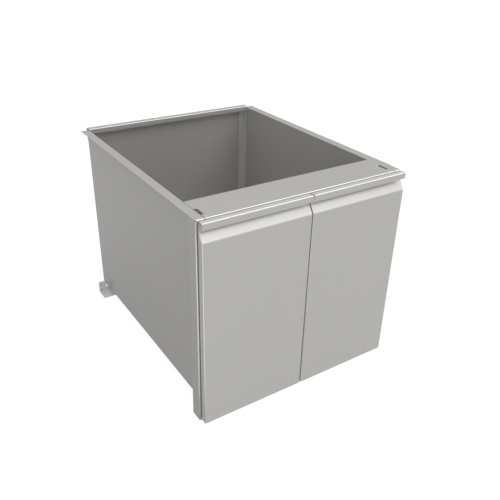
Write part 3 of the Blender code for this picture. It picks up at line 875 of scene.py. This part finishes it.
# ---------------------------------------------------------------- doors
@dataclass
class DoorSkin:
    """The pressed front: lip, top, grip recess, slope and face from one folded sheet."""

    side: Side
    sheet: float = 0.0010
    bend: float = 0.0018
    edge: float = 0.00015
    lip_height: float = 0.0184
    finger_height: float = 0.0362
    grip_depth: float = 0.0184
    grip_rise: float = 0.0248
    liner_gap: float = 0.0013
    depth: float = 0.0210

    def section(self) -> list[tuple[float, float]]:
        """Draws the middle line of the sheet, from the lip's lower edge to the bottom return.

        Returns:
            The line's points, in y and z.
        """
        half_sheet = self.sheet / 2
        front = PLANES.door_front + half_sheet
        back = PLANES.door_front + self.depth - self.liner_gap
        grip = PLANES.door_front + self.grip_depth + half_sheet
        top, bottom = PLANES.door_top - half_sheet, PLANES.door_bottom + half_sheet
        lip_bottom = PLANES.door_top - self.lip_height
        slope_bottom = lip_bottom - self.finger_height
        slope = math.atan2(self.grip_rise, self.grip_depth)
        drop = half_sheet * math.tan((math.pi / 2 - slope) / 2)
        return [(front, lip_bottom), (front, top), (grip, top),
                (grip, slope_bottom + self.grip_rise - drop), (front, slope_bottom - drop),
                (front, bottom), (back, bottom)]

    def build(self) -> bpy.types.Object:
        """Folds the sheet, turns its ends back, rounds the folds and shows it.

        The folds all start their rounding at one distance, so that the corners close.

        Returns:
            The piece.
        """
        section = self.section()
        half_sheet = self.sheet / 2
        low, high = PLANES.door_inner + half_sheet, PLANES.door_outer - half_sheet
        mesh = folded_strip(section, Run.X, low, high)
        back, slope_top = section[-1][0], section[3][1]
        ends = [edge for edge in mesh.edges if edge.is_boundary
                and abs(edge.verts[0].co.x - edge.verts[1].co.x) < MERGE
                and all(vert.co.z < slope_top + MERGE for vert in edge.verts)
                and abs(edge.verts[0].co.z - edge.verts[1].co.z) > MERGE]
        for vert in grow(mesh, ends):
            vert.co.y = back
        bmesh.ops.remove_doubles(mesh, verts=mesh.verts[:], dist=MERGE)
        bmesh.ops.recalc_face_normals(mesh, faces=mesh.faces[:])
        bevelled(mesh, sharp_folds(mesh), self.bend)
        wall = mirrored(walled(mesh, self.sheet, offset=0.0, edge=self.edge), self.side)
        # The door steel's lighter colour is painted light on the lit front.
        return show(wall, f"{self.side.label}_door_front", self.side.door, DOOR_STEEL,
                    "door_steel", f"{self.side.label}_door_skin")


# ---------------------------------------------------------------- fasteners
@dataclass
class PanScrew:
    """A pan-head screw with a cross recess.

    The head's section is in shares of its radius and height. The tip's length and end radius
    are shares of the shank's radius.
    """

    head_radius: float = 0.0036
    head_height: float = 0.0018
    head_section: tuple[tuple[float, float], ...] = (
        (0.0, 1.0), (0.45, 1.0), (0.8, 0.86), (0.96, 0.55), (1.0, 0.2), (1.0, 0.0))
    shank_radius: float = 0.0018
    length: float = 0.0060
    tip_length: float = 0.6
    tip_radius: float = 0.5
    recess_radius: float = 0.0019
    recess_width: float = 0.0008
    recess_depth: float = 0.0010
    turns: int = 28

    def shape(self) -> bmesh.types.BMesh:
        """Turns the screw, with its seat at the origin and its head towards +Z.

        Returns:
            The screw.
        """
        section = [(self.head_radius * out, self.head_height * up)
                   for out, up in self.head_section]
        section += [(self.shank_radius, 0.0),
                    (self.shank_radius, -self.length + self.shank_radius * self.tip_length),
                    (self.shank_radius * self.tip_radius, -self.length), (0.0, -self.length)]
        mesh = bmesh.new()
        draw_line(mesh, [Vector((radius, 0.0, height)) for radius, height in section])
        bmesh.ops.spin(mesh, geom=mesh.verts[:] + mesh.edges[:], cent=(0.0, 0.0, 0.0),
                       axis=(0.0, 0.0, 1.0), angle=math.tau, steps=self.turns, use_merge=True)
        bmesh.ops.remove_doubles(mesh, verts=mesh.verts[:], dist=MERGE)
        bmesh.ops.recalc_face_normals(mesh, faces=mesh.faces[:])
        return self.recessed(mesh)

    def recessed(self, mesh: bmesh.types.BMesh) -> bmesh.types.BMesh:
        """Sinks the cross recess into the head.

        Args:
            mesh: The plain screw. It is freed.

        Returns:
            The screw with its recess.
        """
        tool = bmesh.new()
        reach, half_width = self.recess_radius, self.recess_width / 2
        for span in ((reach, half_width), (half_width, reach)):
            made = bmesh.ops.create_cube(tool, size=2.0)
            bmesh.ops.scale(tool, vec=(*span, self.recess_depth), verts=made["verts"])
            bmesh.ops.translate(tool, vec=(0.0, 0.0, self.head_height), verts=made["verts"])
        screw, cross = as_object(mesh, "screw"), as_object(tool, "cross")
        cut = screw.modifiers.new("cross", "BOOLEAN")
        cut.operation, cut.solver, cut.object, cut.use_self = "DIFFERENCE", "EXACT", cross, True
        return taken_back(screw, cross)


@dataclass
class Fasteners:
    """Every screw: those of the frame's nodes, and the small ones that only show."""

    screw: PanScrew
    short_screw: PanScrew
    back_screw_inset: float = 0.0100
    back_screw_rows: int = 5
    back_screw_margin: float = 0.0500
    cup_screw_height: float = 0.0120
    cup_screw_inset: float = 0.0070

    def build(self) -> list[bpy.types.Object]:
        """Places all the screws.

        Returns:
            The pieces.
        """
        full, short = self.screw.shape(), self.short_screw.shape()
        made = [self.from_node(full, node) for node in sorted(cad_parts)
                if "_screw_" in node]
        made += [screw for side in Side for screw in self.back_screws(short, side)]
        made += [screw for side in Side for level in Level
                 for screw in self.cup_screws(full, side, level)]
        full.free()
        short.free()
        return made

    def place(self, pattern: bmesh.types.BMesh, name: str, seat: Vector, towards: Vector,
              body: str, *nodes: str) -> bpy.types.Object:
        """Shows a copy of a screw.

        Args:
            pattern: The screw to copy.
            name: The piece's name.
            seat: Where the underside of its head is.
            towards: The way that its head looks.
            body: The body that it moves with.
            nodes: The frame's nodes that it stands for.

        Returns:
            The piece.
        """
        mesh = pattern.copy()
        turn = towards.to_track_quat("Z", "Y").to_matrix().to_4x4()
        bmesh.ops.transform(mesh, matrix=Matrix.Translation(seat) @ turn, verts=mesh.verts[:])
        return show(mesh, name, body, SCREW_STEEL, "screw_steel", *nodes)

    def from_node(self, pattern: bmesh.types.BMesh, node: str) -> bpy.types.Object:
        """Shows a screw in place of its node, with its head down on a foot and inwards elsewhere.

        Args:
            pattern: The screw to copy.
            node: The node to stand for.

        Returns:
            The piece.
        """
        axis = 2 if "foot" in node else 0
        low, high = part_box(node)
        seat = (low + high) / 2
        towards = Vector((0.0, 0.0, 0.0))
        towards[axis] = -1.0 if axis == 2 else -math.copysign(1.0, seat.x)
        head_end = low[axis] if towards[axis] < 0 else high[axis]
        seat[axis] = head_end - towards[axis] * self.screw.head_height
        return self.place(pattern, f"{node}_pan", seat, towards, "cabinet", node)

    def back_screws(self, pattern: bmesh.types.BMesh, side: Side) -> list[bpy.types.Object]:
        """Shows the column of screws that holds the back sheet to a rear angle.

        Args:
            pattern: The screw to copy.
            side: The side of the angle.

        Returns:
            The pieces.
        """
        low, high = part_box(f"{side.label}_corner_angle")
        x = side.value * (max(abs(low.x), abs(high.x)) - self.back_screw_inset)
        start, end = low.z + self.back_screw_margin, high.z - self.back_screw_margin
        step = (end - start) / (self.back_screw_rows - 1)
        seat_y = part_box("back_panel")[1].y
        return [self.place(pattern, f"{side.label}_back_screw_{row + 1}",
                           Vector((x, seat_y, start + step * row)), Vector((0.0, 1.0, 0.0)),
                           "cabinet") for row in range(self.back_screw_rows)]

    def cup_screws(self, pattern: bmesh.types.BMesh, side: Side,
                   level: Level) -> list[bpy.types.Object]:
        """Shows the two screws in a hinge cup's flange.

        Args:
            pattern: The screw to copy.
            side: The side of the door.
            level: The height of the hinge.

        Returns:
            The pieces.
        """
        low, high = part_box(f"{side.label}_{level.value}_hinge_cup")
        x = side.value * (min(abs(low.x), abs(high.x)) + self.cup_screw_inset)
        middle = (low.z + high.z) / 2
        return [self.place(pattern, f"{side.label}_{level.value}_cup_screw_{number}",
                           Vector((x, high.y, middle + step * self.cup_screw_height)),
                           Vector((0.0, 1.0, 0.0)), side.door)
                for number, step in enumerate((-1, 1), 1)]


# ---------------------------------------------------------------- small parts
@dataclass(frozen=True)
class SmallPart:
    """One of the frame's small solids that keeps its shape and gets rounded edges."""

    word: str
    body: str
    finish: Finish
    slot: str
    edge: float
    segments: int = EDGE_SEGMENTS


SMALL_PARTS = (
    # The rear foot's pale zinc is painted light against the shade that it stands in.
    SmallPart("rear_foot", "cabinet", ZINC_PLATE, "zinc_steel", 0.0006, 3),
    SmallPart("catch_housing", "cabinet", CATCH_ABS, "catch_plastic", 0.0008, 3),
    SmallPart("catch_magnet", "cabinet", FERRITE, "ferrite", 0.0004),
    SmallPart("hinge_arm", "cabinet", NICKEL_PLATE, "nickel_plate", 0.0005, 3),
    SmallPart("hinge_bush", "cabinet", BUSH_NYLON, "bush_nylon", 0.0002),
    SmallPart("hinge_cup", "door", NICKEL_PLATE, "nickel_plate", 0.0003),
    SmallPart("hinge_pin", "door", SCREW_STEEL, "screw_steel", 0.0004),
    SmallPart("strike_plate", "door", ZINC_PLATE, "zinc_steel", 0.0003),
    SmallPart("door_bumper", "door", NITRILE, "rubber", 0.0010, 4),
    SmallPart("door_liner", "door", DOOR_STEEL, "door_steel", 0.0002),
    SmallPart("door_stiffener", "door", WALL_STEEL_UPRIGHT, "cabinet_steel", 0.0002),
)


def build_small_parts(side: Side) -> None:
    """Shows every small part of one side.

    Args:
        side: The side to build.
    """
    for part in SMALL_PARTS:
        body = side.door if part.body == "door" else part.body
        for node in sorted(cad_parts):
            if node.startswith(side.label) and node.endswith(part.word):
                softened(node, body, part.finish, part.slot, part.edge, part.segments)


# ---------------------------------------------------------------- studio
@dataclass(frozen=True)
class SkyRise:
    """A smooth rise of the sky's strength, from start to end along one axis of its direction."""

    axis: str
    start: float
    end: float
    strength: float


@dataclass(frozen=True)
class Panel:
    """A square panel of light that shows only as a gleam: where it hangs, and what it faces."""

    name: str
    place: Triple
    aim: Triple
    size: float
    watts: float


@dataclass(frozen=True)
class Studio:
    """The pale floor, the soft light and the camera.

    The camera sees a white backdrop and a glowing floor that a shadow barely darkens. All other
    rays meet the graded sky and a grey floor, which is what the steel mirrors.
    """

    floor_size: float = 60.0
    floor_depth: float = 0.0001
    floor_colour: str = "#747474"
    floor_fill: float = 0.31
    shadow_colour: str = "#585858"
    floor_glow: float = 0.94
    sky: float = 0.325
    sky_rises: tuple[SkyRise, ...] = (
        SkyRise("Z", 0.35, 0.95, 0.80),
        SkyRise("Y", 0.3, -0.8, 0.50),
        SkyRise("X", -0.9, 0.1, 0.10),
    )
    key_strength: float = 1.1
    key_spread: float = 40.0
    key_direction: Triple = (-0.45, 0.45, -0.8)
    panels: tuple[Panel, ...] = (
        Panel("softbox", (1.30, -0.25, 2.75), (0.0, 0.0, 0.5), 2.6, 40.0),
        Panel("card", (-1.00, -0.98, 0.01), (-1.00, -0.98, 1.01), 1.15, 4.6),
    )
    camera_place: Triple = (-0.9527, -1.5510, 1.2747)
    azimuth: float = -33.747
    elevation: float = 28.533
    roll: float = 1.450
    lens: float = 42.53
    sensor: float = 36.0
    view_end: float = 100.0

    def build(self) -> None:
        """Sets up the camera, the floor and the light."""
        bpy.context.scene.view_settings.view_transform = "Standard"
        self.camera()
        self.floor()
        self.world()
        self.key()
        for panel in self.panels:
            self.hang(panel)

    def floor(self) -> None:
        """Lays a wide matt floor under the frame."""
        mesh = bmesh.new()
        bmesh.ops.create_grid(mesh, x_segments=1, y_segments=1, size=self.floor_size / 2)
        floor = as_object(mesh, "studio_floor")
        floor.location.z = -self.floor_depth
        material, tree = new_tree("pale_floor")
        shades = []
        for colour, glow in ((self.floor_colour, self.floor_fill),
                             (self.shadow_colour, self.floor_glow)):
            matt = add_node(tree, "ShaderNodeBsdfDiffuse", {"Color": linear(colour)})
            light = add_node(tree, "ShaderNodeEmission",
                             {"Color": linear(WHITE), "Strength": glow})
            shades.append(add_node(tree, "ShaderNodeAddShader",
                                   {0: matt.outputs[0], 1: light.outputs[0]}))
        add_node(tree, "ShaderNodeOutputMaterial", {"Surface": camera_mix(tree, *shades)})
        floor.data.materials.append(material)

    def world(self) -> None:
        """Makes a sky that is brighter overhead and in front, and the white backdrop."""
        world = bpy.data.worlds.new("studio_sky")
        world.use_nodes = True
        tree = world.node_tree
        tree.nodes.clear()
        way = add_node(tree, "ShaderNodeTexCoord").outputs["Generated"]
        parts = add_node(tree, "ShaderNodeSeparateXYZ", {0: way})
        rises = [remap(tree, parts.outputs[rise.axis], (rise.start, rise.end),
                       (0.0, rise.strength), interpolation_type="SMOOTHSTEP")
                 for rise in self.sky_rises]
        total = rises[0]
        for value in (*rises[1:], self.sky):
            total = added(tree, total, value)
        sky = add_node(tree, "ShaderNodeBackground", {"Color": linear(WHITE), "Strength": total})
        backdrop = add_node(tree, "ShaderNodeBackground",
                            {"Color": linear(WHITE), "Strength": 1.0})
        add_node(tree, "ShaderNodeOutputWorld", {"Surface": camera_mix(tree, sky, backdrop)})
        bpy.context.scene.world = world

    def key(self) -> None:
        """Adds the soft key light, which shows in no reflection."""
        data = bpy.data.lights.new("key", "SUN")
        data.energy, data.angle = self.key_strength, math.radians(self.key_spread)
        key = bpy.data.objects.new("key", data)
        key.visible_glossy = False
        key.rotation_mode = "QUATERNION"
        key.rotation_quaternion = Vector(self.key_direction).to_track_quat("-Z", "Y")
        bpy.context.scene.collection.objects.link(key)

    def hang(self, panel: Panel) -> None:
        """Hangs one panel, which lights no matt surface and which the camera doesn't see.

        Args:
            panel: The panel.
        """
        data = bpy.data.lights.new(panel.name, "AREA")
        data.energy, data.size = panel.watts, panel.size
        light = bpy.data.objects.new(panel.name, data)
        light.location = panel.place
        light.rotation_mode = "QUATERNION"
        facing = Vector(panel.aim) - Vector(panel.place)
        light.rotation_quaternion = facing.to_track_quat("-Z", "Y")
        light.visible_camera = light.visible_diffuse = False
        bpy.context.scene.collection.objects.link(light)

    def camera(self) -> None:
        """Places the camera, at the view's angle and distance."""
        azimuth, elevation = math.radians(self.azimuth), math.radians(self.elevation)
        back = Vector((math.sin(azimuth) * math.cos(elevation),
                       -math.cos(azimuth) * math.cos(elevation), math.sin(elevation)))
        data = bpy.data.cameras.new("view")
        data.lens, data.sensor_width, data.clip_end = self.lens, self.sensor, self.view_end
        camera = bpy.data.objects.new("view", data)
        camera.location = self.camera_place
        camera.rotation_mode = "QUATERNION"
        level = (-back).to_track_quat("-Z", "Y")
        roll = Quaternion((0.0, 0.0, 1.0), math.radians(self.roll))
        camera.rotation_quaternion = level @ roll
        bpy.context.scene.collection.objects.link(camera)
        bpy.context.scene.camera = camera


def main() -> None:
    """Builds the studio, the cabinet and its doors."""
    logging.basicConfig(level=logging.INFO, format="%(message)s")
    Studio().build()
    for piece in (FrontRail(), RearRail(), BasePanel(), BackPanel()):
        piece.build()
    for side in Side:
        for piece in (SidePanel(side), FrontPost(side), CornerAngle(side), DoorSkin(side)):
            piece.build()
        build_small_parts(side)
    Fasteners(PanScrew(), PanScrew(length=0.0024)).build()


if __name__ == "__main__":
    main()
